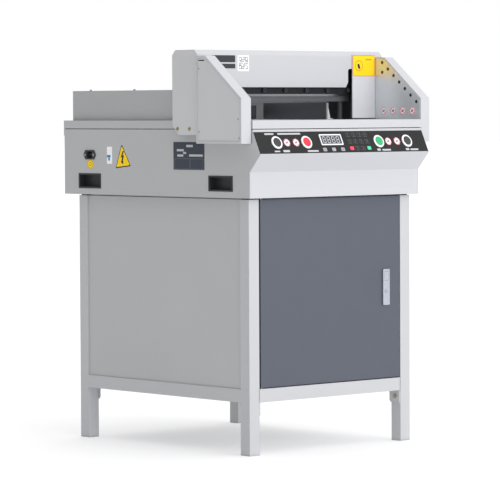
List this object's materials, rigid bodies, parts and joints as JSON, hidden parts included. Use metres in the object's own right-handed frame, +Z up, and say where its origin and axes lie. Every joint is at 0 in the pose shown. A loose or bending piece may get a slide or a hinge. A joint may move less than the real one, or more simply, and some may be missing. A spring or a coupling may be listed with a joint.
{
  "type": "guillotine paper cutter",
  "caption": "Electric guillotine paper cutter: knife and clamp in a bridge head over a table, slanted button console, side light guards and a cabinet stand with a door.",
  "frame": {"origin": "on the floor, under the centre of the whole machine", "axes": "+X to the operator's right, +Y to the back, +Z up"},
  "size_m": [0.782, 0.926, 1.2095],
  "materials": {
    "grey_powder_coat": "light grey fine-texture powder coat",
    "pale_powder_coat": "pale grey powder coat",
    "door_powder_coat": "slate grey powder coat",
    "black_plastic": "black moulded plastic",
    "overlay_film": "charcoal matt polyester film",
    "white_plastic": "white moulded plastic",
    "red_plastic": "red moulded plastic",
    "green_plastic": "green moulded plastic",
    "display_glass": "smoked display window",
    "clear_window": "clear polycarbonate",
    "machine_grey": "dark grey machine enamel",
    "carrier_black": "black oxide on steel",
    "knife_steel": "ground tool steel",
    "bright_steel": "ground bright steel",
    "satin_panel": "satin grey sheet",
    "nickel_plate": "satin nickel plate",
    "brass_screw": "yellow zinc plate",
    "gauge_aluminium": "clear anodised aluminium",
    "stick_plastic": "white polyethylene",
    "belt_rubber": "black rubber",
    "foot_rubber": "grey rubber"
  },
  "bodies": {
    "frame": {"stand_legs": "pale_powder_coat", "leg_feet": "foot_rubber", "stand_rails": "pale_powder_coat", "cabinet_panels": "grey_powder_coat", "stand_brackets": "pale_powder_coat", "door_hinge_pins": "bright_steel", "base_plate": "grey_powder_coat", "case_sides": "grey_powder_coat", "front_console": "pale_powder_coat", "case_rear": "grey_powder_coat", "carry_handle_cups": "black_plastic", "power_inlet": "black_plastic", "console_overlay": "overlay_film", "console_bezels": "white_plastic", "display_window": "display_glass", "keypad_keys": "overlay_film", "control_board": "green_plastic", "front_table": "pale_powder_coat", "stick_channel": "machine_grey", "cutting_stick": "stick_plastic", "rear_table": "grey_powder_coat", "side_guides": "bright_steel", "rear_guard": "grey_powder_coat", "rear_guard_window": "clear_window", "side_frames": "machine_grey", "top_beam": "machine_grey", "knife_guide_blocks": "bright_steel", "head_cover": "pale_powder_coat", "head_end_covers": "grey_powder_coat", "column_covers": "pale_powder_coat", "guard_shells": "pale_powder_coat", "guard_plates": "grey_powder_coat", "guard_inner_panels": "satin_panel", "light_curtain_lenses": "black_plastic", "machine_screws": "brass_screw", "drive_gearmotor": "machine_grey", "clamp_motor": "machine_grey", "gauge_rails": "bright_steel", "gauge_motor": "machine_grey", "gauge_belt": "belt_rubber"},
    "door": {"door_panel": "door_powder_coat", "door_lock_plate": "nickel_plate"},
    "lock_handle": {"door_lock_handle": "nickel_plate"},
    "lock_barrel": {"door_lock_cylinder": "nickel_plate"},
    "cut_left": {"cut_button_left": "black_plastic"},
    "cut_right": {"cut_button_right": "black_plastic"},
    "power": {"power_button": "red_plastic"},
    "reset": {"reset_button": "green_plastic"},
    "knife_bar": {"knife_carrier": "carrier_black", "knife": "knife_steel", "knife_bolts": "carrier_black"},
    "crank": {"crank_disc": "bright_steel"},
    "drive_rod": {"connecting_rod": "machine_grey"},
    "clamp": {"clamp_beam": "machine_grey", "clamp_yoke": "bright_steel"},
    "clamp_spindle": {"clamp_screw": "bright_steel"},
    "gauge": {"back_gauge": "machine_grey", "gauge_carriage": "gauge_aluminium"},
    "gauge_spindle": {"gauge_screw": "bright_steel"},
    "stepper_pulley": {"motor_pulley": "gauge_aluminium"}
  },
  "joints": [
    {"name": "door_hinge", "type": "hinge", "parent": "frame", "child": "door", "pos_m": [-0.281, -0.387, 0.48175], "axis": [0, 0, -1], "range_deg": [0, 100]},
    {"name": "lock_flap", "type": "hinge", "parent": "door", "child": "lock_handle", "pos_m": [0.231, -0.396, 0.5285], "axis": [-1, 0, 0], "range_deg": [0, 30]},
    {"name": "lock_key", "type": "hinge", "parent": "door", "child": "lock_barrel", "pos_m": [0.231, -0.371, 0.468], "axis": [0, 1, 0], "range_deg": [0, 90]},
    {"name": "cut_left_press", "type": "slide", "parent": "frame", "child": "cut_left", "axis": [0, 0.8997, -0.4364], "range_m": [0, 0.003], "stiffness_N_per_m": 700, "springref_m": -0.001},
    {"name": "cut_right_press", "type": "slide", "parent": "frame", "child": "cut_right", "axis": [0, 0.8997, -0.4364], "range_m": [0, 0.003], "stiffness_N_per_m": 700, "springref_m": -0.001},
    {"name": "power_press", "type": "slide", "parent": "frame", "child": "power", "axis": [0, 0.8997, -0.4364], "range_m": [0, 0.003], "stiffness_N_per_m": 700, "springref_m": -0.001},
    {"name": "reset_press", "type": "slide", "parent": "frame", "child": "reset", "axis": [0, 0.8997, -0.4364], "range_m": [0, 0.003], "stiffness_N_per_m": 700, "springref_m": -0.001},
    {"name": "knife_slide", "type": "slide", "parent": "frame", "child": "knife_bar", "axis": [-0.2687, 0, -0.9632], "range_m": [0, 0.07444]},
    {"name": "crank_turn", "type": "hinge", "parent": "frame", "child": "crank", "pos_m": [0.25, -0.208, 0.845], "axis": [0, 1, 0], "range_deg": [0, 180.01]},
    {"name": "rod_swing", "type": "hinge", "parent": "crank", "child": "drive_rod", "pos_m": [0.26, -0.2145, 0.88085], "axis": [0, 1, 0], "range_deg": [-180.01, 0]},
    {"name": "clamp_slide", "type": "slide", "parent": "frame", "child": "clamp", "axis": [0, 0, -1], "range_m": [0, 0.0555]},
    {"name": "clamp_screw_turn", "type": "hinge", "parent": "frame", "child": "clamp_spindle", "pos_m": [0, -0.163, 0.92], "axis": [0, 0, 1], "range_deg": [0, 1999]},
    {"name": "gauge_slide", "type": "slide", "parent": "frame", "child": "gauge", "axis": [0, 1, 0], "range_m": [-0.31, 0.165]},
    {"name": "gauge_screw_turn", "type": "hinge", "parent": "frame", "child": "gauge_spindle", "pos_m": [0, 0.19, 0.94], "axis": [0, 1, 0], "range_deg": [-5581, 2971]},
    {"name": "stepper_turn", "type": "hinge", "parent": "frame", "child": "stepper_pulley", "pos_m": [0, 0.425, 0.88], "axis": [0, 1, 0], "range_deg": [-5581, 2971]}
  ],
  "couplings": [
    {"joint": "crank_turn", "follows": "knife_slide", "rad_per_m": 42.205},
    {"joint": "rod_swing", "follows": "knife_slide", "rad_per_m": -42.205},
    {"joint": "clamp_screw_turn", "follows": "clamp_slide", "rad_per_m": 628.32},
    {"joint": "gauge_screw_turn", "follows": "gauge_slide", "rad_per_m": 314.16},
    {"joint": "stepper_turn", "follows": "gauge_slide", "rad_per_m": 314.16}
  ]
}
